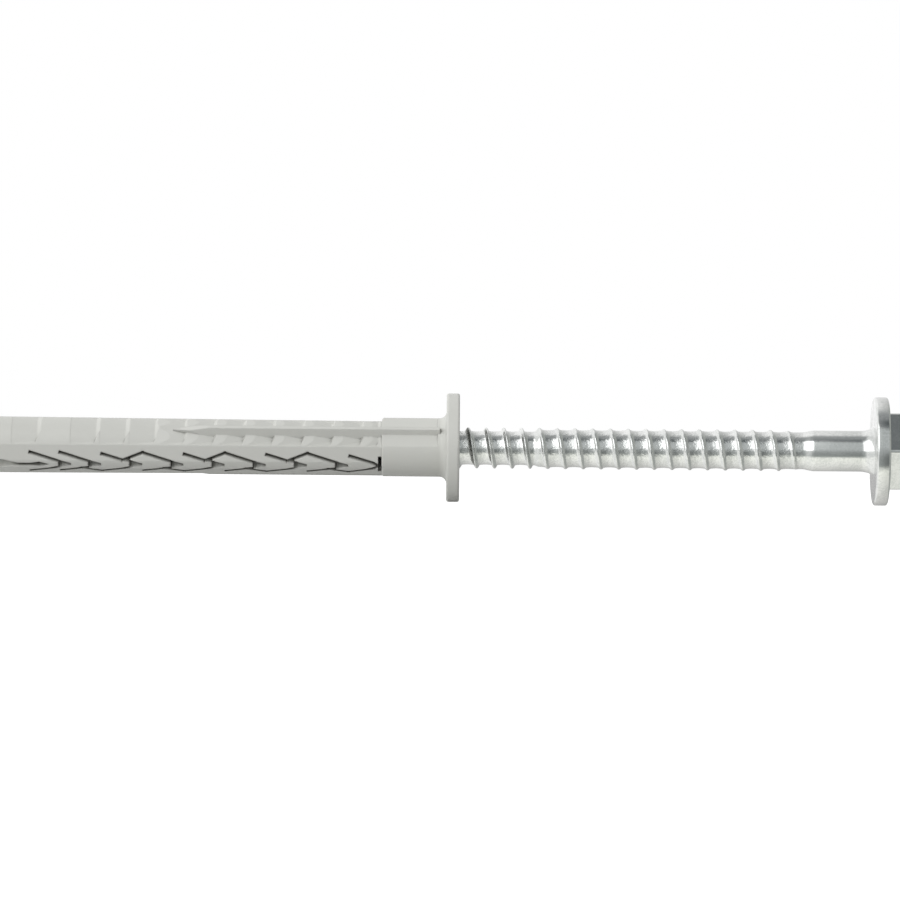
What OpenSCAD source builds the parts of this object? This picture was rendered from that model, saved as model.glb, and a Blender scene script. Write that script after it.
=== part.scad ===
// Frame fixing: a nylon plug with a wide round flange, and the hexagon head screw that is
// started in it. The axis lies along X. X is 0 at the underside of the plug's flange, which is
// the face that meets the frame; the plug's tip is at minus X and the screw's head at plus X.
// Angles round the axis are measured from the front (minus Y) and grow upwards.

/* [Plug] */
// Length of the plug below its flange
plug_length = 80; // [70:1:110]
// Outside diameter of the plug, which is the drill size
plug_d = 10; // [9.5:0.1:11]
// Length of the smooth collar below the flange
collar_length = 11; // [8:0.5:14]
// Chamfer at the end of the collar
collar_edge = 0.25; // [0.1:0.05:0.35]
// Diameter of the expansion zone where it meets the collar
zone_d_collar = 9.24; // [9:0.02:9.4]
// Diameter of the expansion zone near the tip
zone_d_tip = 9.8; // [9.5:0.05:10]
// Diameter of the plug at its very tip
tip_d = 7.8; // [7.4:0.1:8.4]
// Length of the taper at the tip
tip_taper = 3.2; // [2:0.2:4]
// Bore of the plug beyond the screw
zone_bore_d = 5.1; // [4.6:0.1:5.4]
// Clearance between the screw's thread and the bore of the collar, on the diameter
thread_clearance = 0.1; // [0.04:0.02:0.4]
// Chamfer at the mouth of the bore
mouth_edge = 0.4; // [0.2:0.1:0.8]

/* [Plug flange] */
// Diameter of the plug's flange
plug_flange_d = 18.5; // [17:0.1:20]
// Thickness of the plug's flange
plug_flange_t = 2.24; // [1.8:0.02:3]
// Fillet between the collar and the flange
collar_fillet = 1.2; // [0.6:0.1:1.8]
// Rounding of the edges of the two flanges
flange_round = 0.4; // [0.2:0.05:0.7]

/* [Fins and flats] */
// Direction of the first fin round the axis
fin_angle = 34; // [30:1:38]
// Distance of a fin's crest from the axis
fin_r = 5.7; // [5.4:0.05:6]
// Width of a fin at its crest
fin_w = 0.6; // [0.4:0.05:0.9]
// Distance of a fin's foot from the axis, inside the plug's wall
fin_root = 3.75; // [3.6:0.05:3.8]
// Width of a fin at its foot
fin_foot_w = 2; // [1.6:0.1:2.4]
// Distance from the flange to the point where a fin starts
fin_start = 46.5; // [40:0.5:50]
// Length over which a fin comes to its full width and height
fin_point = 6; // [3:0.5:8]
// Direction between the two flats beside a fin
flat_middle = 40; // [38:1:42]
// Angle that one flat beside a fin spans
flat_span = 38; // [34:1:38]
// Direction of the flat at the back end of the saw teeth
back_flat_angle = 88; // [86:1:90]
// Angle that the flat at the back end of the saw teeth spans
back_flat_span = 40; // [34:1:42]
// Angle that a flat below the mould line spans
lower_flat_span = 34; // [28:1:38]
// Number of teeth that the flats beside the fins run over
flat_teeth = 8; // [6:1:8]

/* [Saw teeth] */
// Pitch of the saw teeth
tooth_pitch = 5; // [4.8:0.02:5.2]
// Distance from the collar's end to the step of the first full tooth
first_tooth = 2.9; // [2.4:0.1:4]
// Depth of a full tooth
tooth_depth = 0.75; // [0.4:0.05:0.85]
// Length of a tooth's step along the plug
tooth_step = 0.65; // [0.3:0.05:0.9]
// Width of the land on a tooth's crest
tooth_land = 0.15; // [0.1:0.05:0.4]
// How far a step leans towards the tip beside the mould line
tooth_lean = 1; // [0:0.1:1.5]

/* [Expansion slots] */
// Direction of the slots round the axis
slot_angle = -45; // [-48:1:-42]
// Width of a slot
slot_w = 0.6; // [0.4:0.02:0.7]
// Distance from the collar's end to the slot that ends the zone
slot_start = 0.3; // [0.1:0.05:0.6]
// Distance from the slot that ends the zone to the tip of the first arrow notch
first_notch = 5.4; // [5.2:0.1:5.8]
// Distance between the arrow notches of the long arms
notch_pitch = 7; // [6.8:0.02:7.2]
// Distance between the arrow notches near the tip
tip_notch_pitch = 5.1; // [4.8:0.05:5.4]
// Distance of the arms' outer ends from the middle of the slots
arm_reach = 2.1; // [1.9:0.05:2.4]
// Depth of a notch from its tip to the tooth that points into it
notch_depth = 2; // [1.6:0.1:2.3]
// Width of a notch where the arms leave it
notch_w = 1.9; // [1.4:0.1:2.1]
// Width of the slot's open end at the tip
tip_slot_w = 2.6; // [2:0.1:3]

/* [Screw] */
// Length of the screw below its head
screw_length = 87; // [83:1:95]
// How far the screw stands out between the two flanges
screw_exposed = 70.6; // [60:0.2:72]
// Diameter over the thread
thread_d = 7; // [6.9:0.05:7.1]
// Pitch of the thread
thread_pitch = 3.03; // [2.9:0.01:3.2]
// Core diameter of the thread next to the tip
core_d_tip = 5.66; // [5.4:0.02:5.9]
// Core diameter of the thread next to the head
core_d_head = 6.26; // [6:0.02:6.4]
// Distance from the plug's seat to the change of the core
core_change = 15; // [8:0.5:30]
// Length over which the core changes its diameter
core_ramp = 0.7; // [0.4:0.1:2]
// Length of the blunt cone at the screw's tip
tip_cone = 4.5; // [3:0.5:6]
// Diameter of the plain shank
shank_d = 6.94; // [6.8:0.02:7]
// Length of the plain shank
shank_length = 10.2; // [6:0.2:16]
// Length of the cone from the shank down to the core
shank_cone = 2; // [1:0.1:3]
// Width of the thread's ridge at its foot
ridge_foot = 0.8; // [0.7:0.05:1.2]
// Width of the thread's ridge at its crest
ridge_crest = 0.2; // [0.15:0.05:0.5]

/* [Screw head] */
// Diameter of the screw's flange
head_flange_d = 18.5; // [16:0.1:19]
// Thickness of the screw's flange
head_flange_t = 2.4; // [2:0.1:3]
// Radius of the fillet between the shank and the screw's flange
head_fillet = 4.2; // [3.6:0.1:5]
// Length of that fillet along the shank
head_fillet_run = 2.3; // [1.6:0.1:3]
// Hexagon across flats
hex_af = 13; // [10:0.5:13]
// Height of the hexagon above the flange
hex_h = 5.6; // [4.5:0.1:7]
// Height of the turned corners at the hexagon's end
hex_edge = 0.7; // [0.4:0.1:1]
// Width of the six-lobed recess over its lobes
recess_d = 6.65; // [5.5:0.05:6.8]
// Depth of the six-lobed recess
recess_depth = 3.2; // [2.4:0.1:4]

/* [Hidden] */
eps = 0.01;
nylon = [0.79, 0.79, 0.76];
zinc = [0.72, 0.74, 0.75];
facing = 64;
outer = 12;
plug_r = plug_d / 2;
collar_bore_r = (thread_d + thread_clearance) / 2;
zone_bore_r = zone_bore_d / 2;
zone_length = plug_length - tip_taper - collar_length;
zone_fall = atan((zone_d_tip - zone_d_collar) / 2 / zone_length);
inlet = 1;
flat_gap = 1;
flat_past = 0.1;
tooth_places = floor((zone_length - first_tooth) / tooth_pitch);
tooth_bed = 45;
crest_gap = 0.03;
// Shares of the full depth: at the collar, the last tooth, the shallowest row and the loss from
// one tooth to the next after the first four
collar_tooth = 0.5;
last_tooth = 0.4;
least_tooth = 0.5;
tooth_loss = 0.1;
full_teeth = 4;
fin_sink = 0.05;
slot_x = -collar_length - slot_start;
notch_room = 12.5;
notch_dent = 0.3;
// Bend and end of a short arm, as shares of the notch pitch and of the arms' reach
knee_run = 0.47;
knee_reach = 0.42;
link_run = 0.97;
link_reach = 0.9;
// Slot at the collar: its half height, its arm's bend and end
end_half = 0.68;
end_knee_run = 1.2;
end_knee_reach = 0.3;
end_link_run = 0.72;
end_link_reach = 0.82;
// Slot at the tip: places of the diamond's widest point, its end, the narrow stretch's end and
// the start of the mouth
tip_slot_runs = [1.7, 3.2, 5.4, 7.8];
diamond_half = 0.56;
mouth_share = 0.36;
notch_last = floor((plug_length + slot_x - first_notch - tip_notch_pitch - notch_room) / notch_pitch);
head_seat_x = plug_flange_t + screw_exposed;
screw_tip_x = head_seat_x - screw_length;
bore_taper = 3;
thread_gap = 0.4;
thread_end_x = head_seat_x - shank_length - shank_cone - thread_gap;
thread_lead = 0.8;
tip_share = 0.5;
core_step = 0.02;
core_lap = 0.6;
turn_steps = 24;
helix_lead = 1.11;
helix_x = screw_tip_x - helix_lead * thread_pitch;
strip_steps = ceil((thread_end_x + 2 * core_lap - helix_x) / thread_pitch + 1) * turn_steps;
corner_turn = 0.3;
lobe_share = 0.24;

// Value held between 0 and 1
function clamp(v) = max(0, min(1, v));

// Radius of the expansion zone at a place x along the plug
function zone_r(x) = zone_d_collar / 2 - (x + collar_length) * tan(zone_fall);

// Turns what is drawn along Z so that it lies along X
module along_x() rotate([0, 90, 0]) children();

// Puts the plane of X and the tangent at an angle round the axis, with Z pointing outwards
module facing_out(angle) rotate([90 - angle, 0, 0]) children();

// Repeats what is drawn on the other side of the plane through the slots
module both_sides() for (side = [0, 1])
    mirror([0, side * sin(slot_angle), side * cos(slot_angle)]) children();

// Revolves an outline whose length runs along Y, so that it lies along X
module turned() along_x() rotate_extrude($fn = facing) children();

// Outline of a round disc with rounded edges, standing on the X axis
module disc_profile(d, t, edge) {
    square([d / 2 - edge, t]);
    translate([0, edge]) square([d / 2, t - 2 * edge]);
    for (y = [edge, t - edge]) translate([d / 2 - edge, y]) circle(r = edge, $fn = facing);
}

// Outline of the fillet between a round shaft and the disc at y: an arc that leaves the shaft
// over the length run before the disc
module fillet_profile(shaft_r, y, r, run) {
    rise = r - sqrt(r * r - run * run);
    difference() {
        translate([shaft_r - eps, y - run]) square([rise + eps, run + eps]);
        translate([shaft_r + r, y - run]) circle(r = r, $fn = facing);
    }
}

// Outline of the collar and the flange from the axis outwards
module collar_profile() {
    polygon([
        [0, -collar_length],
        [plug_r - collar_edge, -collar_length],
        [plug_r, -collar_length + collar_edge],
        [plug_r, eps],
        [0, eps]
    ]);
    fillet_profile(plug_r, 0, collar_fillet, collar_fillet);
    disc_profile(plug_flange_d, plug_flange_t, flange_round);
}

// Outline of the expansion zone, which reaches into the collar
module zone_profile() {
    polygon([
        [0, -plug_length],
        [tip_d / 2, -plug_length],
        [zone_d_tip / 2, -plug_length + tip_taper],
        [zone_r(inlet - collar_length), inlet - collar_length],
        [0, inlet - collar_length]
    ]);
}

// Outline of the bore: wide round the screw's thread and narrow beyond its tip
module bore_profile() {
    polygon([
        [0, -plug_length - 1],
        [zone_bore_r, -plug_length - 1],
        [zone_bore_r, screw_tip_x - core_lap],
        [collar_bore_r, screw_tip_x + bore_taper],
        [collar_bore_r, plug_flange_t - mouth_edge],
        [collar_bore_r + mouth_edge, plug_flange_t],
        [collar_bore_r + mouth_edge, plug_flange_t + 1],
        [0, plug_flange_t + 1]
    ]);
}

// Puts what is drawn on the chord of the zone that spans twice the given angle
module on_zone_chord(half)
    translate([inlet - collar_length, 0, zone_r(inlet - collar_length) * cos(half)])
        rotate([0, zone_fall, 0]) children();

// Block that cuts a flat, with its lower face on the flat and its head end at x = 0
module flat_block(length) translate([-length, -outer / 2, 0]) cube([length, outer, outer / 2]);

// Direction of the flat on one side of a fin
function side_flat(side) = flat_middle + side * (flat_span / 2 + flat_gap);

// Flats of the expansion zone: two beside a fin, which end in the hollow of a tooth, one behind
// the teeth and one below the mould line
module zone_flats() {
    side_end = step_x(flat_teeth) - max(tooth_step, tooth_lean * 4 / 3) - flat_past;
    for (flat = [
        [side_flat(-1), flat_span, inlet - collar_length - side_end],
        [side_flat(1), flat_span, inlet - collar_length - side_end],
        [back_flat_angle, back_flat_span, plug_length],
        [-lower_flat_span / 2 - flat_gap, lower_flat_span, plug_length]
    ])
        facing_out(flat[0]) on_zone_chord(flat[1] / 2) flat_block(flat[2]);
}

// Flats of the collar beside the fins, which end at the flange's fillet
module collar_flats() {
    for (side = [-1, 1]) facing_out(side_flat(side))
        translate([-collar_fillet - 0.3, 0, plug_r * cos(flat_span / 2)]) flat_block(collar_length);
}

// Place of a tooth's step: the first is at the collar's end
function step_x(i) = -collar_length - (i == 0 ? 0 : first_tooth + (i - 1) * tooth_pitch);

// Depth of a tooth: shallow at the collar and towards the tip, and one place left plain
function depth_at(i) =
    tooth_depth * (
        i == 0 ? collar_tooth :
        i == tooth_places - 1 ? 0 :
        i == tooth_places ? last_tooth :
        min(1, max(least_tooth, 1 - tooth_loss * (i - full_teeth)))
    );

// Radius of the teeth's crests
function crest_r(x) = zone_r(x) - crest_gap;

// Outline of the saw teeth: each floor sinks towards its step, which faces the plug's tip
module saw_profile() {
    end_x = step_x(tooth_places + 1) - 1;
    head_x = inlet / 2 - collar_length;
    polygon(concat(
        [[0, end_x], [crest_r(end_x), end_x]],
        [for (i = [tooth_places : -1 : 0]) if (depth_at(i) > 0) each [
            [crest_r(step_x(i + 1) + tooth_land), step_x(i + 1) + tooth_land],
            [crest_r(step_x(i)) - depth_at(i), step_x(i) - tooth_step],
            [crest_r(step_x(i)), step_x(i)]
        ]],
        [[crest_r(head_x), head_x], [0, head_x]]
    ));
}

// Outline of the bed of one row of teeth on its chord, whose steps lean at the mould line
module bed_outline() {
    chord = zone_d_collar / 2 * cos(tooth_bed);
    for (i = [0 : tooth_places]) if (depth_at(i) > 0) {
        from = step_x(i + 1) - inlet + collar_length;
        to = step_x(i) - inlet + collar_length;
        polygon([
            [from, -1.2 * chord], [to - tooth_lean * 4 / 3, -1.2 * chord], [to, -0.4 * chord],
            [to + 0.2, -0.4 * chord], [to + 0.2, plug_d], [from, plug_d]
        ]);
    }
}

// Expansion zone with its two rows of saw teeth and its flats
module zone() {
    difference() {
        union() {
            difference() {
                turned() zone_profile();
                both_sides() facing_out(tooth_bed) on_zone_chord(tooth_bed)
                    linear_extrude(height = plug_r) bed_outline();
            }
            turned() saw_profile();
        }
        both_sides() zone_flats();
    }
}

// Collar and flange
module collar() {
    difference() {
        turned() collar_profile();
        both_sides() collar_flats();
    }
}

// One fin with drafted sides, which starts as a point and ends at the flange's fillet
module fin() {
    end_x = 0.1 - collar_fillet;
    full_x = fin_point - fin_start;
    low = [-fin_start, zone_r(-fin_start) - fin_sink];
    high = [full_x, fin_r];
    rise = (high - low) / 2;
    facing_out(fin_angle) difference() {
        intersection() {
            linear_extrude(height = outer) polygon([
                [-fin_start, 0], [full_x, -fin_foot_w / 2], [end_x, -fin_foot_w / 2],
                [end_x, fin_foot_w / 2], [full_x, fin_foot_w / 2]
            ]);
            translate([-fin_start - 1, 0, 0]) rotate([90, 0, 90])
                linear_extrude(height = fin_start + 1)
                    polygon([
                        [-fin_foot_w / 2, fin_root], [fin_foot_w / 2, fin_root],
                        [fin_w / 2, fin_r], [-fin_w / 2, fin_r]
                    ]);
        }
        translate([0, outer / 2, 0]) rotate([90, 0, 0]) linear_extrude(height = outer)
            polygon([low - rise, high + rise, [low[0] - rise[0], high[1] + rise[1]]]);
    }
}

// A straight slot between two points of the slot pattern
module slot_bar(from, to) {
    run = to - from;
    translate(from) rotate(atan2(run[1], run[0]))
        translate([-slot_w / 2, -slot_w / 2]) square([norm(run) + slot_w, slot_w]);
}

// Notch that a pointed tooth of the plug reaches into, with its tip at x
module notch(x) {
    blunt = slot_w / 2;
    polygon([
        [x, blunt], [x - notch_depth, notch_w / 2], [x - notch_depth - notch_dent, 0],
        [x - notch_depth, -notch_w / 2], [x, -blunt]
    ]);
}

// Long arm from a notch to its outer end, one notch pitch nearer the tip of the plug
module long_arm(x) {
    slot_bar([x - notch_depth, (notch_w - slot_w) / 2], [x - notch_pitch + 0.1, arm_reach]);
}

// Short arm of a notch, and the link from it to the long arm of the next notch
module short_arm(x) {
    low = [x - notch_pitch * knee_run, arm_reach * knee_reach];
    slot_bar([x - notch_depth, (notch_w - slot_w) / 2], low);
    slot_bar(low, [x - notch_pitch * link_run, arm_reach * link_reach]);
    slot_bar(low, [x + 0.1, arm_reach]);
}

// The slot pattern, flat: arrow notches whose long and short arms change sides in turn, so
// that the two halves of the zone reach into each other
module slot_pattern() {
    for (i = [0 : notch_last]) {
        x = slot_x - first_notch - i * notch_pitch;
        notch(x);
        mirror([0, i % 2, 0]) long_arm(x);
        mirror([0, 1 - i % 2, 0]) short_arm(x);
    }
    tip_x = slot_x - first_notch - notch_last * notch_pitch - tip_notch_pitch;
    notch(tip_x);
    for (side = [0, 1]) mirror([0, side, 0]) long_arm(tip_x);
    end_slot(slot_x);
    tip_slot(tip_x - notch_depth - tip_slot_runs[0]);
}

// Slot that ends the zone at the collar, with the short arm that runs into it
module end_slot(x) {
    low = [x - end_knee_run, arm_reach * end_knee_reach];
    slot_bar([x, arm_reach * end_half], [x, -arm_reach * end_half]);
    slot_bar(low, [x, 0]);
    slot_bar(low, [x - notch_pitch * end_link_run, arm_reach * end_link_reach]);
    mirror([0, 1, 0]) slot_bar(low, [x - first_notch, arm_reach]);
    mirror([0, 1, 0]) slot_bar(low, [x, 0]);
}

// Slot that opens the tip, from x: a diamond, a narrow stretch and a wide mouth
module tip_slot(x) {
    side = [
        [x - tip_slot_runs[0], diamond_half], [x - tip_slot_runs[1], slot_w / 2],
        [x - tip_slot_runs[2], slot_w / 2], [x - tip_slot_runs[3], mouth_share * tip_slot_w],
        [-plug_length - 1, tip_slot_w / 2]
    ];
    last = len(side) - 1;
    polygon(concat([[x, 0]], side, [for (i = [last : -1 : 0]) [side[i][0], -side[i][1]]]));
}

module plug() {
    color(nylon) difference() {
        union() {
            zone();
            collar();
            both_sides() fin();
        }
        turned() bore_profile();
        facing_out(slot_angle) linear_extrude(height = 2 * outer, center = true) slot_pattern();
    }
}

// Outline of the screw's plain stretches from its axis outwards
module screw_profile() {
    cone_x = head_seat_x - shank_length;
    polygon([
        [0, thread_end_x],
        [core_d_head / 2 + core_step, thread_end_x],
        [core_d_head / 2 + core_step, cone_x - shank_cone],
        [shank_d / 2, cone_x],
        [shank_d / 2, head_seat_x + eps],
        [0, head_seat_x + eps]
    ]);
    fillet_profile(shank_d / 2, head_seat_x, head_fillet, head_fillet_run);
    translate([0, head_seat_x]) disc_profile(head_flange_d, head_flange_t, flange_round);
}

// Radius of the thread's core at a place x along the screw, with the blunt cone of the tip
function core_r(x) =
    let (
        grown = core_d_tip + (core_d_head - core_d_tip) * clamp((x - core_change) / core_ramp),
        tip = clamp((x - screw_tip_x) / tip_cone)
    )
    grown / 2 * (1 - tip_share * (1 - tip));

// Height of the thread's ridge above the core, which runs out at both ends
function ridge_h(x) =
    let (
        start = clamp((x - screw_tip_x - thread_lead) / tip_cone),
        finish = clamp((thread_end_x - x) / thread_pitch)
    )
    max(0, thread_d / 2 - core_r(x)) * min(start, finish);

// One point of the thread: step counts along the helix, offset is the place across one pitch
// and rise is the share of the ridge's height
function thread_point(step, offset, rise) =
    let (
        along = helix_x + step / turn_steps * thread_pitch + offset,
        x = max(screw_tip_x, min(thread_end_x + core_lap, along)),
        r = core_r(x) + rise * ridge_h(x),
        angle = 90 - 360 * step / turn_steps
    )
    [x, -r * cos(angle), r * sin(angle)];

// Threaded core: a strip of foot, ridge and foot that winds round the axis and closes on itself
module threaded_core() {
    foot = ridge_foot / 2;
    crest = ridge_crest / 2;
    across = [[-foot, 0], [-crest, 1], [crest, 1], [foot, 0]];
    n = len(across);
    points = concat(
        [for (step = [0 : strip_steps]) for (p = across) thread_point(step, p[0], p[1])],
        [[screw_tip_x, 0, 0], [thread_end_x + core_lap, 0, 0]]
    );
    start_pole = (strip_steps + 1) * n;
    end_pole = start_pole + 1;
    ridge = [for (step = [0 : strip_steps - 1]) for (k = [0 : n - 2])
        let (a = step * n + k) each [[a, a + 1, a + n + 1], [a, a + n + 1, a + n]]];
    root = [for (step = [0 : strip_steps - turn_steps - 1])
        let (a = step * n + n - 1, b = (step + turn_steps) * n)
        each [[a, b, b + n], [a, b + n, a + n]]];
    start_cap = [for (step = [0 : turn_steps - 1]) [start_pole, step * n, (step + 1) * n]];
    start_lip = [for (k = [0 : n - 2]) [start_pole, k + 1, k]];
    start_join = [[start_pole, turn_steps * n, n - 1]];
    last = strip_steps - turn_steps;
    end_cap = [for (step = [last : strip_steps - 1])
        [end_pole, (step + 1) * n + n - 1, step * n + n - 1]];
    end_lip = [for (k = [0 : n - 2]) [end_pole, strip_steps * n + k, strip_steps * n + k + 1]];
    end_join = [[end_pole, last * n + n - 1, strip_steps * n]];
    polyhedron(
        points,
        concat(ridge, root, start_cap, start_lip, start_join, end_cap, end_lip, end_join)
    );
}

// Six-lobed recess in the end of the head
module recess() {
    lobe_d = recess_d * lobe_share;
    cylinder(d = recess_d - lobe_d, h = recess_depth + 1, $fn = facing);
    for (i = [0 : 5]) rotate([0, 0, i * 60]) translate([(recess_d - lobe_d) / 2, 0, 0])
        cylinder(d = lobe_d, h = recess_depth + 1, $fn = facing);
}

// Hexagon with its outer corners turned off, standing on the screw's flange
module hexagon() {
    corner_r = hex_af / 2 / cos(30);
    intersection() {
        rotate([0, 0, 90]) cylinder(r = corner_r, h = hex_h, $fn = 6);
        rotate_extrude($fn = facing) polygon([
            [0, 0], [corner_r + 0.1, 0], [corner_r + 0.1, hex_h - hex_edge],
            [hex_af / 2 - corner_turn, hex_h], [0, hex_h]
        ]);
    }
}

module screw() {
    color(zinc) {
        threaded_core();
        difference() {
            union() {
                turned() screw_profile();
                translate([head_seat_x + head_flange_t - eps, 0, 0]) along_x() hexagon();
            }
            translate([head_seat_x + head_flange_t + hex_h - recess_depth, 0, 0])
                along_x() recess();
        }
    }
}

plug();
screw();
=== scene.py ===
import math
import bmesh
import bpy
import numpy as np
from mathutils import Matrix, Vector


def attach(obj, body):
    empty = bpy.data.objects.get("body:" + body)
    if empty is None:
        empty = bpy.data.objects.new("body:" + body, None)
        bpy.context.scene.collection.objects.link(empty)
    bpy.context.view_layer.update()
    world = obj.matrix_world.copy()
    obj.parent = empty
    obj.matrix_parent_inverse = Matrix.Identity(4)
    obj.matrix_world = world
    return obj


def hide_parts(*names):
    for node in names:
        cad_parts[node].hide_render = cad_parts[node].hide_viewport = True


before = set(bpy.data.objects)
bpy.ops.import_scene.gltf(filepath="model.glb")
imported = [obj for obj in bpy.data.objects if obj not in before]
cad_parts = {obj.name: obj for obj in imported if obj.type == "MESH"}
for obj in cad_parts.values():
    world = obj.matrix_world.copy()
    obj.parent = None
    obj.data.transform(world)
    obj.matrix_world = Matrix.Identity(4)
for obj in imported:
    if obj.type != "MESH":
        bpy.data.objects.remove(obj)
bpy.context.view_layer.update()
mm = 0.001
scene = bpy.context.scene
print("frame loaded")

# the screw's sizes in millimetres, as the solids have them; x runs along the axis towards the head,
# from 0 at the underside of the plug's flange
screwSizes = {
    "tipX": -14.16, "seatX": 72.84, "threadEndX": 60.24, "helixX": -17.5233,
    "pitch": 3.03, "threadD": 7.0, "coreTipD": 5.66, "coreHeadD": 6.26,
    "coreChangeX": 15.0, "coreRamp": 0.7, "tipCone": 4.5,
    "shankD": 6.94, "shankX": 62.64, "coneLength": 2.0,
    "flangeD": 18.5, "flangeT": 2.4, "edge": 0.4, "fillet": 4.2, "filletRun": 2.3,
    "hexAf": 13.0, "hexH": 5.6, "hexEdge": 0.7, "recessD": 6.65, "recessDepth": 3.2,
}


def makeMaterial(name, baseColor, roughness, metallic=0.0):
    material = bpy.data.materials.new(name)
    material.use_nodes = True
    shader = material.node_tree.nodes["Principled BSDF"]
    shader.inputs["Base Color"].default_value = (*baseColor, 1.0)
    shader.inputs["Roughness"].default_value = roughness
    shader.inputs["Metallic"].default_value = metallic
    return material, material.node_tree, shader


# a node with some of its sockets or settings given by name
def addNode(tree, kind, **values):
    node = tree.nodes.new(kind)
    for key, value in values.items():
        if key in node.inputs:
            node.inputs[key].default_value = value
        else:
            setattr(node, key, value)
    return node


# a socket takes a number or a colour as its own value, and another node's output as a link
def feed(tree, socket, value):
    if isinstance(value, bpy.types.NodeSocket):
        tree.links.new(value, socket)
    elif isinstance(value, tuple):
        socket.default_value = (*value, 1.0)
    else:
        socket.default_value = value


def addMath(tree, operation, *values):
    node = addNode(tree, "ShaderNodeMath", operation=operation)
    for socket, value in zip(node.inputs, values):
        feed(tree, socket, value)
    return node.outputs["Value"]


# takes a value from low..high to start..end, along a smooth step or a straight line
def mapRange(tree, value, low, high, start=0.0, end=1.0, blend="SMOOTHSTEP"):
    step = addNode(tree, "ShaderNodeMapRange", interpolation_type=blend)
    for key, number in (("From Min", low), ("From Max", high), ("To Min", start), ("To Max", end)):
        step.inputs[key].default_value = number
    tree.links.new(value, step.inputs["Value"])
    return step.outputs["Result"]


def mixColors(tree, factor, first, second):
    mix = addNode(tree, "ShaderNodeMix", data_type="RGBA")
    tree.links.new(factor, mix.inputs["Factor"])
    feed(tree, mix.inputs["A"], first)
    feed(tree, mix.inputs["B"], second)
    return mix.outputs["Result"]


def addNoise(tree, place, scale, detail):
    noise = addNode(tree, "ShaderNodeTexNoise", Scale=scale, Detail=detail)
    tree.links.new(place, noise.inputs["Vector"])
    return noise.outputs["Fac"]


# coordinates multiplied by the scale along each axis and then turned
def stretched(tree, place, scale, turn=(0.0, 0.0, 0.0)):
    mapping = addNode(tree, "ShaderNodeMapping", Rotation=turn, Scale=scale)
    tree.links.new(place, mapping.inputs["Vector"])
    return mapping.outputs["Vector"]


# a bump of the given height in metres, over the normal that comes in
def addBump(tree, value, height, strength, normal=None):
    bump = addNode(tree, "ShaderNodeBump", Strength=strength)
    tree.links.new(value, bump.inputs["Height"])
    feed(tree, bump.inputs["Distance"], height)
    if normal is not None:
        tree.links.new(normal, bump.inputs["Normal"])
    return bump.outputs["Normal"]


# painted shade: a surface colour that turns to a dark shade colour where a slot or a hole closes round a
# point, so the shade that falls in hollows is painted into the colour
def paintHollowShade(tree, look, color):
    hollow = addNode(tree, "ShaderNodeAmbientOcclusion", Distance=look["paintedShadeReach"], samples=8,
                     only_local=True)
    openness = mapRange(tree, hollow.outputs["AO"], *look["paintedShadeRange"])
    return mixColors(tree, openness, look["paintedShadeColor"], color)


# nylon: light grey, satin, with faint flow marks, a fine moulded grain, soft edges, and painted shade that
# darkens the slots
nylonLook = {
    "color": (0.60, 0.605, 0.575), "shade": (0.565, 0.568, 0.532), "roughness": 0.46, "ior": 1.53,
    "grainScale": 2600.0, "grainHeight": 0.000008, "grainStrength": 0.5,
    "flowScale": 90.0, "flowStretch": (0.35, 1.0, 1.0), "edgeRadius": 0.0003,
    # painted shade in the slots and holes: how far round a point it looks, over what range of openness, and
    # the dark shade colour
    "paintedShadeReach": 0.0015, "paintedShadeRange": (0.26, 0.7), "paintedShadeColor": (0.10, 0.097, 0.08),
}


def nylonMaterial():
    look = nylonLook
    material, tree, shader = makeMaterial("nylon", look["color"], look["roughness"])
    place = addNode(tree, "ShaderNodeTexCoord").outputs["Object"]
    flow = addNoise(tree, stretched(tree, place, look["flowStretch"]), look["flowScale"], 3.0)
    tint = mixColors(tree, flow, look["color"], look["shade"])
    # painted shade darkens the colour in the slots and holes
    tree.links.new(paintHollowShade(tree, look, tint), shader.inputs["Base Color"])
    edge = addNode(tree, "ShaderNodeBevel", Radius=look["edgeRadius"], samples=6)
    grain = addNoise(tree, place, look["grainScale"], 2.0)
    moulded = addBump(tree, grain, look["grainHeight"], look["grainStrength"], edge.outputs["Normal"])
    tree.links.new(moulded, shader.inputs["Normal"])
    shader.inputs["IOR"].default_value = look["ior"]
    return material


# zinc plating: bright steel, speckled on the rolled thread, finely brushed on the plain parts,
# which begin at plainX and are smoother than the thread by plainShare; painted shade darkens the recess and
# other hollows
zincLook = {
    "color": (0.72, 0.725, 0.715), "dull": (0.63, 0.64, 0.63), "smooth": 0.18, "rough": 0.30,
    "grainScale": 2800.0, "patchScale": 420.0, "speckle": (0.8, 1.25),
    "grainHeight": 0.00004, "plainHeight": 0.000004,
    "brushScale": (300.0, 5200.0, 5200.0), "brushTurn": (0.0, 0.35, 0.0),
    "brushHeight": 0.000006, "brushStrength": 0.6,
    "plainX": (0.0596, 0.0616), "plainShare": 0.68,
    # painted shade in the head's recess and other hollows: how far round a point it looks, over what range of
    # openness, and the dark shade colour
    "paintedShadeReach": 0.003, "paintedShadeRange": (0.2, 0.6), "paintedShadeColor": (0.22, 0.225, 0.22),
}


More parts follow.
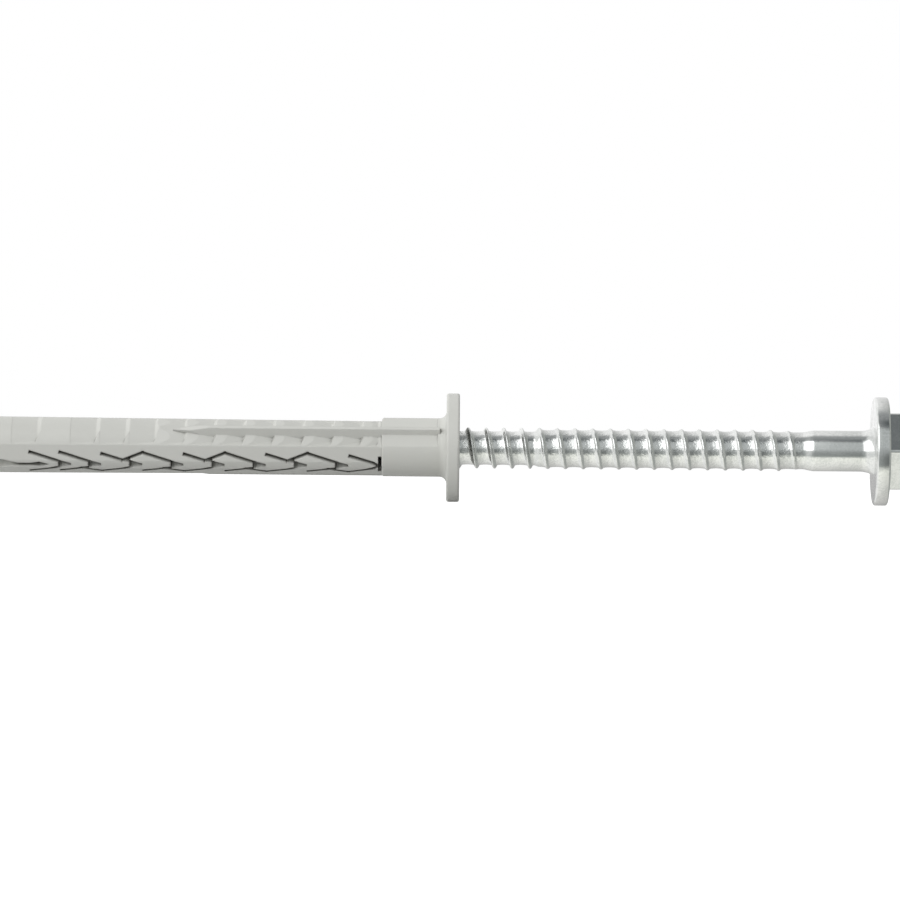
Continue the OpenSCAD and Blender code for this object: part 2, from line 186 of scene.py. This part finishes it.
def zincMaterial():
    look = zincLook
    material, tree, shader = makeMaterial("zinc_plating", look["color"], look["smooth"], 1.0)
    place = addNode(tree, "ShaderNodeTexCoord").outputs["Object"]
    grain = addNoise(tree, place, look["grainScale"], 1.5)
    both = addMath(tree, "ADD", grain, addNoise(tree, place, look["patchScale"], 2.0))
    plating = mixColors(tree, mapRange(tree, both, *look["speckle"]), look["color"], look["dull"])
    # painted shade darkens the plating's colour in the recess and other hollows
    tree.links.new(paintHollowShade(tree, look, plating), shader.inputs["Base Color"])
    axes = addNode(tree, "ShaderNodeSeparateXYZ")
    tree.links.new(place, axes.inputs["Vector"])
    along = axes.outputs["X"]
    gloss = mapRange(tree, both, *look["speckle"], look["smooth"], look["rough"])
    plain = mapRange(tree, along, *look["plainX"], 1.0, look["plainShare"])
    tree.links.new(addMath(tree, "MULTIPLY", gloss, plain), shader.inputs["Roughness"])
    height = mapRange(tree, along, *look["plainX"], look["grainHeight"], look["plainHeight"])
    rolled = addBump(tree, grain, height, 1.0)
    brush = addNoise(tree, stretched(tree, place, look["brushScale"], look["brushTurn"]), 1.0, 2.0)
    brushed = addBump(tree, brush, look["brushHeight"], look["brushStrength"], rolled)
    tree.links.new(brushed, shader.inputs["Normal"])
    return material


nylon = nylonMaterial()
zinc = zincMaterial()
print("materials made")


# welds the seams, closes open ends, smooths all edges flatter than the angle, and dresses the piece
def finishPiece(name, mesh, material, sharpDegrees):
    shape = bmesh.new()
    shape.from_mesh(mesh)
    bmesh.ops.remove_doubles(shape, verts=shape.verts, dist=0.0005 * mm)
    bmesh.ops.dissolve_degenerate(shape, edges=shape.edges, dist=0.0005 * mm)
    rims = [edge for edge in shape.edges if edge.is_boundary]
    if rims:
        bmesh.ops.holes_fill(shape, edges=rims)
    bmesh.ops.recalc_face_normals(shape, faces=shape.faces)
    shape.to_mesh(mesh)
    shape.free()
    mesh.shade_smooth()
    mesh.set_sharp_from_angle(angle=math.radians(sharpDegrees))
    mesh.materials.append(material)
    piece = bpy.data.objects.new(name, mesh)
    scene.collection.objects.link(piece)
    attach(piece, "root")
    return piece


# rows by columns of points become quads; the columns close round the axis where asked
def gridMesh(name, points, closed):
    rows, columns = points.shape[:2]
    index = np.arange(rows * columns).reshape(rows, columns)
    if closed:
        index = np.concatenate([index, index[:, :1]], axis=1)
    quads = np.stack([index[:-1, :-1], index[:-1, 1:], index[1:, 1:], index[1:, :-1]], axis=-1)
    mesh = bpy.data.meshes.new(name)
    mesh.from_pydata((points.reshape(-1, 3) * mm).tolist(), [], quads.reshape(-1, 4).tolist())
    return mesh


# a place x along the axis, a radius r and an angle a from the front upwards
def aroundAxis(x, r, a):
    return np.stack(np.broadcast_arrays(x, -r * np.cos(a), r * np.sin(a)), axis=-1)


# thread: one turn is a root, two flanks and a rounded crest, wound along the core; across gives
# places over one pitch and rise the share of the ridge's height there
threadLook = {
    "stepsPerTurn": 72, "across": (
        -1.515, -1.3, -1.1, -0.9, -0.7, -0.55, -0.44, -0.36, -0.28, -0.2, -0.14, -0.08,
        0.0, 0.08, 0.14, 0.2, 0.28, 0.36, 0.44, 0.55, 0.7, 0.9, 1.1, 1.3, 1.515),
    "rise": (0, 0, 0, 0, 0, 0.015, 0.07, 0.2, 0.46, 0.74, 0.9, 0.98,
             1, 0.98, 0.9, 0.74, 0.46, 0.2, 0.07, 0.015, 0, 0, 0, 0, 0),
    "rootSag": 0.09, "sagFrom": 0.4, "sagPower": 1.6, "bareTip": 0.8, "overrun": 0.6,
}


# the core's radius steps from the tip's to the head's over a short ramp, and the tip's cone takes
# it down to a half
def coreRadius(x):
    size = screwSizes
    grown = size["coreTipD"] + (size["coreHeadD"] - size["coreTipD"]) * np.clip(
        (x - size["coreChangeX"]) / size["coreRamp"], 0, 1)
    tip = np.clip((x - size["tipX"]) / size["tipCone"], 0, 1)
    return grown / 2 * (0.5 + 0.5 * tip)


# x runs with the helix plus the place across the pitch; the radius is the core's, plus a power
# curve that dishes the root, plus the ridge, which fades out at both ends
def screwThread():
    size, look = screwSizes, threadLook
    across = np.array(look["across"])[None, :]
    rise = np.array(look["rise"])[None, :]
    reach = size["threadEndX"] + 2 * look["overrun"] - size["helixX"]
    turns = math.ceil(reach / size["pitch"] + 1)
    step = np.arange(turns * look["stepsPerTurn"] + 1)[:, None] / look["stepsPerTurn"]
    x = np.clip(size["helixX"] + step * size["pitch"] + across, size["tipX"],
                size["threadEndX"] + look["overrun"])
    fade = np.minimum(np.clip((x - size["tipX"] - look["bareTip"]) / size["tipCone"], 0, 1),
                      np.clip((size["threadEndX"] - x) / size["pitch"], 0, 1))
    halfPitch = size["pitch"] / 2
    dish = np.clip((halfPitch - np.abs(across)) / (halfPitch - look["sagFrom"]), 0, 1)
    foot = coreRadius(x) + look["rootSag"] * dish ** look["sagPower"] * fade
    r = foot + rise * fade * np.maximum(0, size["threadD"] / 2 - foot)
    points = aroundAxis(x, r, math.pi / 2 - 2 * math.pi * step)
    return finishPiece("screw_thread", gridMesh("screw_thread", points, False), zinc,
                       50)


# points of an arc from one angle to another, in degrees, as (x, radius)
def arc(centreX, centreR, radius, start, end, count=7):
    a = np.radians(np.linspace(start, end, count))
    return list(zip(centreX + radius * np.cos(a), centreR + radius * np.sin(a)))


# the shank starts a hair outside the thread's core; faceR and rimInset are rings that keep the
# flange's faces flat beside its rounded edges
shankLook = {"around": 128, "overCore": 0.01, "coneSteps": 9, "filletSteps": 12, "faceR": 6.0,
             "rimInset": 0.3}


# shank and flange: one outline of x and radius turned round the axis; the cone's outline is half a
# straight line and half a smooth step
def screwShank():
    size, look = screwSizes, shankLook
    coreR, shankR, flangeR = size["coreHeadD"] / 2, size["shankD"] / 2, size["flangeD"] / 2
    edge, fillet, run, seat = size["edge"], size["fillet"], size["filletRun"], size["seatX"]
    startR, coneX, top = coreR + look["overCore"], size["shankX"] - size["coneLength"], seat + size["flangeT"]
    outline = [(size["threadEndX"], 0.0), (size["threadEndX"], startR), (coneX, startR)]
    ease = np.linspace(0, 1, look["coneSteps"])[1:-1]
    blend = ease * ease * (3 - 2 * ease) * 0.5 + ease * 0.5
    outline += list(zip(size["shankX"] - size["coneLength"] * (1 - ease),
                        coreR + (shankR - coreR) * blend))
    outline += [(size["shankX"], shankR), (seat - run, shankR)]
    steepest = math.degrees(math.asin(run / fillet)) - 90
    outline += arc(seat - run, shankR + fillet, fillet, -90, steepest, look["filletSteps"])[1:]
    rim = flangeR - edge
    outline += [(seat, look["faceR"]), (seat, rim - look["rimInset"])]
    outline += arc(seat + edge, rim, edge, 180, 90) + arc(top - edge, rim, edge, 90, 0)
    outline += [(top, rim - look["rimInset"]), (top, look["faceR"]), (top, 0.0)]
    outline = np.array(outline)
    a = np.linspace(0, 2 * math.pi, look["around"], endpoint=False)[None, :]
    points = aroundAxis(outline[:, :1], outline[:, 1:], a)
    return finishPiece("screw_shank", gridMesh("screw_shank", points, True), zinc,
                       40)


# the head's corners are blunted along the flats' edges, and a cone from coneOver outside them to
# coneIn inside the flats turns them off at the end; lobeShare is a lobe's width in the recess's
hexagonLook = {
    "around": 360, "blunt": 0.09, "intoFlange": 0.05, "endDrop": 0.01, "coneOver": 0.1,
    "coneIn": 0.3, "coneSteps": 8, "coneFrom": 0.12, "faceIn": 0.45, "lobeShare": 0.24,
}


# hexagon: at each angle the radius is the smaller of the flats' and the turned cone's, and the
# recess is the larger of a round bore and six round lobes
def screwHexagon():
    size, look = screwSizes, hexagonLook
    a = np.linspace(0, 2 * math.pi, look["around"], endpoint=False)
    sixth = math.pi / 3
    flatR = size["hexAf"] / 2
    cornerR = flatR / math.cos(sixth / 2)
    hexR = np.minimum(flatR / np.cos(np.mod(a, sixth) - sixth / 2), cornerR - look["blunt"])
    seat = size["seatX"] + size["flangeT"]
    base, top = seat - look["intoFlange"], seat + size["hexH"] - look["endDrop"]
    rows = [(x, hexR) for x in (base, base + 0.3, base + 2.5, top - size["hexEdge"])]
    outerR, innerR = cornerR + look["coneOver"], flatR - look["coneIn"]
    for share in np.linspace(look["coneFrom"], 1, look["coneSteps"]):
        cone = outerR + (innerR - outerR) * share
        rows.append((top - size["hexEdge"] * (1 - share), np.minimum(hexR, cone)))
    lobeR = size["recessD"] * look["lobeShare"] / 2
    boreR = size["recessD"] / 2 - lobeR
    off = np.mod(a + sixth / 2, sixth) - sixth / 2
    aside = boreR * np.sin(off)
    lobe = boreR * np.cos(off) + np.sqrt(np.maximum(lobeR ** 2 - aside ** 2, 0))
    recessR = np.maximum(np.where(np.abs(aside) < lobeR, lobe, 0), boreR)
    floorX = top - size["recessDepth"]
    rows += [(top, np.minimum(hexR, flatR - look["faceIn"])), (top, recessR + 0.5)]
    rows += [(top, recessR + 0.16), (top - 0.05, recessR + 0.05), (top - 0.16, recessR)]  # rounded lip
    rows += [(floorX + 0.1, recessR), (floorX, recessR - 0.1), (floorX - 0.15, recessR * 0)]
    x = np.array([row[0] for row in rows])[:, None]
    r = np.array([row[1] for row in rows])
    points = aroundAxis(x, r, a[None, :])
    return finishPiece("screw_hexagon", gridMesh("screw_hexagon", points, True), zinc,
                       25)


for piece in (screwThread(), screwShank(), screwHexagon()):
    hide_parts("screw")
print("screw made")

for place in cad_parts["plug"].material_slots:
    place.material = nylon
print("plug finished")

# floor: a wide pale sheet under the two flanges, white to the camera with a soft shadow
floorLook = {"z": -9.25 * mm, "half": 1.6, "color": (0.6, 0.6, 0.6), "white": 0.7}


def floorSheet():
    half, z = floorLook["half"], floorLook["z"]
    mesh = bpy.data.meshes.new("floor")
    corners = [(-half, -half, z), (half, -half, z), (half, half, z), (-half, half, z)]
    mesh.from_pydata(corners, [], [(0, 1, 2, 3)])
    floor = bpy.data.objects.new("floor", mesh)
    scene.collection.objects.link(floor)
    material, tree, shader = makeMaterial("floor_paper", floorLook["color"], 1.0)
    path = addNode(tree, "ShaderNodeLightPath")
    glow = addMath(tree, "MULTIPLY", path.outputs["Is Camera Ray"], floorLook["white"])
    tree.links.new(glow, shader.inputs["Emission Strength"])
    shader.inputs["Emission Color"].default_value = (1.0, 1.0, 1.0, 1.0)
    shader.inputs["Specular IOR Level"].default_value = 0.0
    mesh.materials.append(material)
    floor.visible_glossy = False


floorSheet()

# studio: white for the camera. The metal mirrors a white backdrop behind and above, a pale table
# close in front and a dim room beyond it, which is darker to the right. The stops of what it
# mirrors are degrees upwards from the front, and the colour there on the left and on the right.
# The blends say how far across, from -1 at the left to 1 at the right, one gives way to the next.
studio = {
    "white": (1.0, 1.0, 1.0), "top": 0.82, "bottom": 0.60, "sideFall": 0.57,
    "mirrored": (
        (-180, (0.45, 0.45, 0.45), (0.35, 0.35, 0.35)), (-130, (0.86, 0.86, 0.84), (0.62, 0.62, 0.60)),
        (-80, (1.16, 1.17, 1.12), (0.78, 0.79, 0.75)), (-42, (1.24, 1.26, 1.18), (0.94, 0.96, 0.89)),
        (-31, (0.36, 0.39, 0.38), (0.19, 0.205, 0.20)), (-12, (0.44, 0.465, 0.46), (0.19, 0.205, 0.20)),
        (10, (0.54, 0.57, 0.57), (0.57, 0.60, 0.60)), (47, (0.54, 0.57, 0.57), (0.54, 0.57, 0.57)),
        (55, (0.30, 0.315, 0.32), (0.13, 0.145, 0.15)), (65, (0.30, 0.315, 0.32), (0.08, 0.095, 0.10)),
        (74, (0.36, 0.375, 0.38), (0.32, 0.335, 0.34)), (88, (0.42, 0.435, 0.44), (0.36, 0.375, 0.38)),
        (103, (1.20, 1.20, 1.20), (0.60, 0.61, 0.60)), (180, (1.1, 1.1, 1.1), (0.8, 0.8, 0.8)),
    ),
    "leftSide": (1.15, 1.16, 1.15), "leftShare": 0.7, "rightSide": (0.46, 0.48, 0.46),
    "middleBlend": (-0.1, 0.2), "rightBlend": (0.35, 0.6), "leftBlend": (-0.2, -0.4),
    "lampPlace": (-0.35, -0.69, 0.64), "lampTarget": (0.03, 0.0, 0.64), "lampPower": 3.9,
    "lampSize": (0.72, 1.24),
}


def mirroredRamp(tree, turn, side):
    ramp = addNode(tree, "ShaderNodeValToRGB")
    stops = ramp.color_ramp.elements
    for number, row in enumerate(studio["mirrored"]):
        stop = stops[number] if number < 2 else stops.new(1.0)
        stop.position = (row[0] + 180) / 360
        stop.color = (*row[side], 1.0)
    tree.links.new(turn, ramp.inputs["Fac"])
    return ramp.outputs["Color"]


# turn is the angle of a direction round the screw's axis, upwards from the front, from 0 to 1; what
# lights the surfaces themselves is a level that grows upwards and falls off to the right
def studioWorld():
    world = bpy.data.worlds.new("studio")
    scene.world = world
    world.use_nodes = True
    tree = world.node_tree
    light = tree.nodes["Background"]
    axes = addNode(tree, "ShaderNodeSeparateXYZ")
    tree.links.new(addNode(tree, "ShaderNodeTexCoord").outputs["Generated"], axes.inputs["Vector"])
    across, height = axes.outputs["X"], axes.outputs["Z"]
    ahead = addMath(tree, "MULTIPLY", axes.outputs["Y"], -1.0)
    around = addMath(tree, "ARCTAN2", height, ahead)
    turn = mapRange(tree, around, -math.pi, math.pi, blend="LINEAR")
    left, right = mirroredRamp(tree, turn, 1), mirroredRamp(tree, turn, 2)
    room = mixColors(tree, mapRange(tree, across, *studio["middleBlend"]), left, right)
    room = mixColors(tree, mapRange(tree, across, *studio["rightBlend"]), room, studio["rightSide"])
    toLeft = mapRange(tree, across, *studio["leftBlend"], 0.0, studio["leftShare"])
    room = mixColors(tree, toLeft, room, studio["leftSide"])
    soft = mapRange(tree, height, -1.0, 1.0, studio["bottom"], studio["top"], "LINEAR")
    level = addMath(tree, "MULTIPLY_ADD", across, -studio["sideFall"], soft)
    path = addNode(tree, "ShaderNodeLightPath")
    shown = mixColors(tree, path.outputs["Is Glossy Ray"], level, room)
    seen = addMath(tree, "MAXIMUM", path.outputs["Is Camera Ray"], path.outputs["Is Transmission Ray"])
    tree.links.new(mixColors(tree, seen, shown, studio["white"]), light.inputs["Color"])
    light.inputs["Strength"].default_value = 1.0


def softLamp():
    lamp = bpy.data.lights.new("softbox_left", "AREA")
    lamp.shape = "RECTANGLE"
    lamp.size, lamp.size_y = studio["lampSize"]
    lamp.energy = studio["lampPower"]
    holder = bpy.data.objects.new("softbox_left", lamp)
    holder.location = studio["lampPlace"]
    aim = Vector(studio["lampTarget"]) - Vector(studio["lampPlace"])
    holder.rotation_euler = aim.to_track_quat("-Z", "Y").to_euler()
    scene.collection.objects.link(holder)


studioWorld()
softLamp()
print("studio made")

# camera: level with the fixing and square to its axis, as in the photograph
photo = {"pixels": 900, "focalPx": 5600.0, "pxPerMm": 5.86, "originPx": (446.4, 447.6), "roll": 0.0089}


# the camera stands off by the focal length over the scale, level with the picture's middle
def photoCamera():
    half = photo["pixels"] / 2
    scale = photo["pxPerMm"] / mm
    target = Vector(((half - photo["originPx"][0]) / scale, 0, (photo["originPx"][1] - half) / scale))
    distance = photo["focalPx"] / scale
    camera = bpy.data.cameras.new("camera")
    camera.sensor_width = 36.0
    camera.lens = camera.sensor_width * photo["focalPx"] / photo["pixels"]
    camera.clip_start, camera.clip_end = 0.01, 20.0
    holder = bpy.data.objects.new("camera", camera)
    view = Vector((0, 1, 0)).to_track_quat("-Z", "Y").to_matrix().to_4x4()
    turn = view @ Matrix.Rotation(photo["roll"], 4, "Z")
    holder.matrix_world = Matrix.Translation(target - Vector((0, distance, 0))) @ turn
    scene.collection.objects.link(holder)
    scene.camera = holder


photoCamera()
scene.view_settings.view_transform = "Standard"
print("camera set")
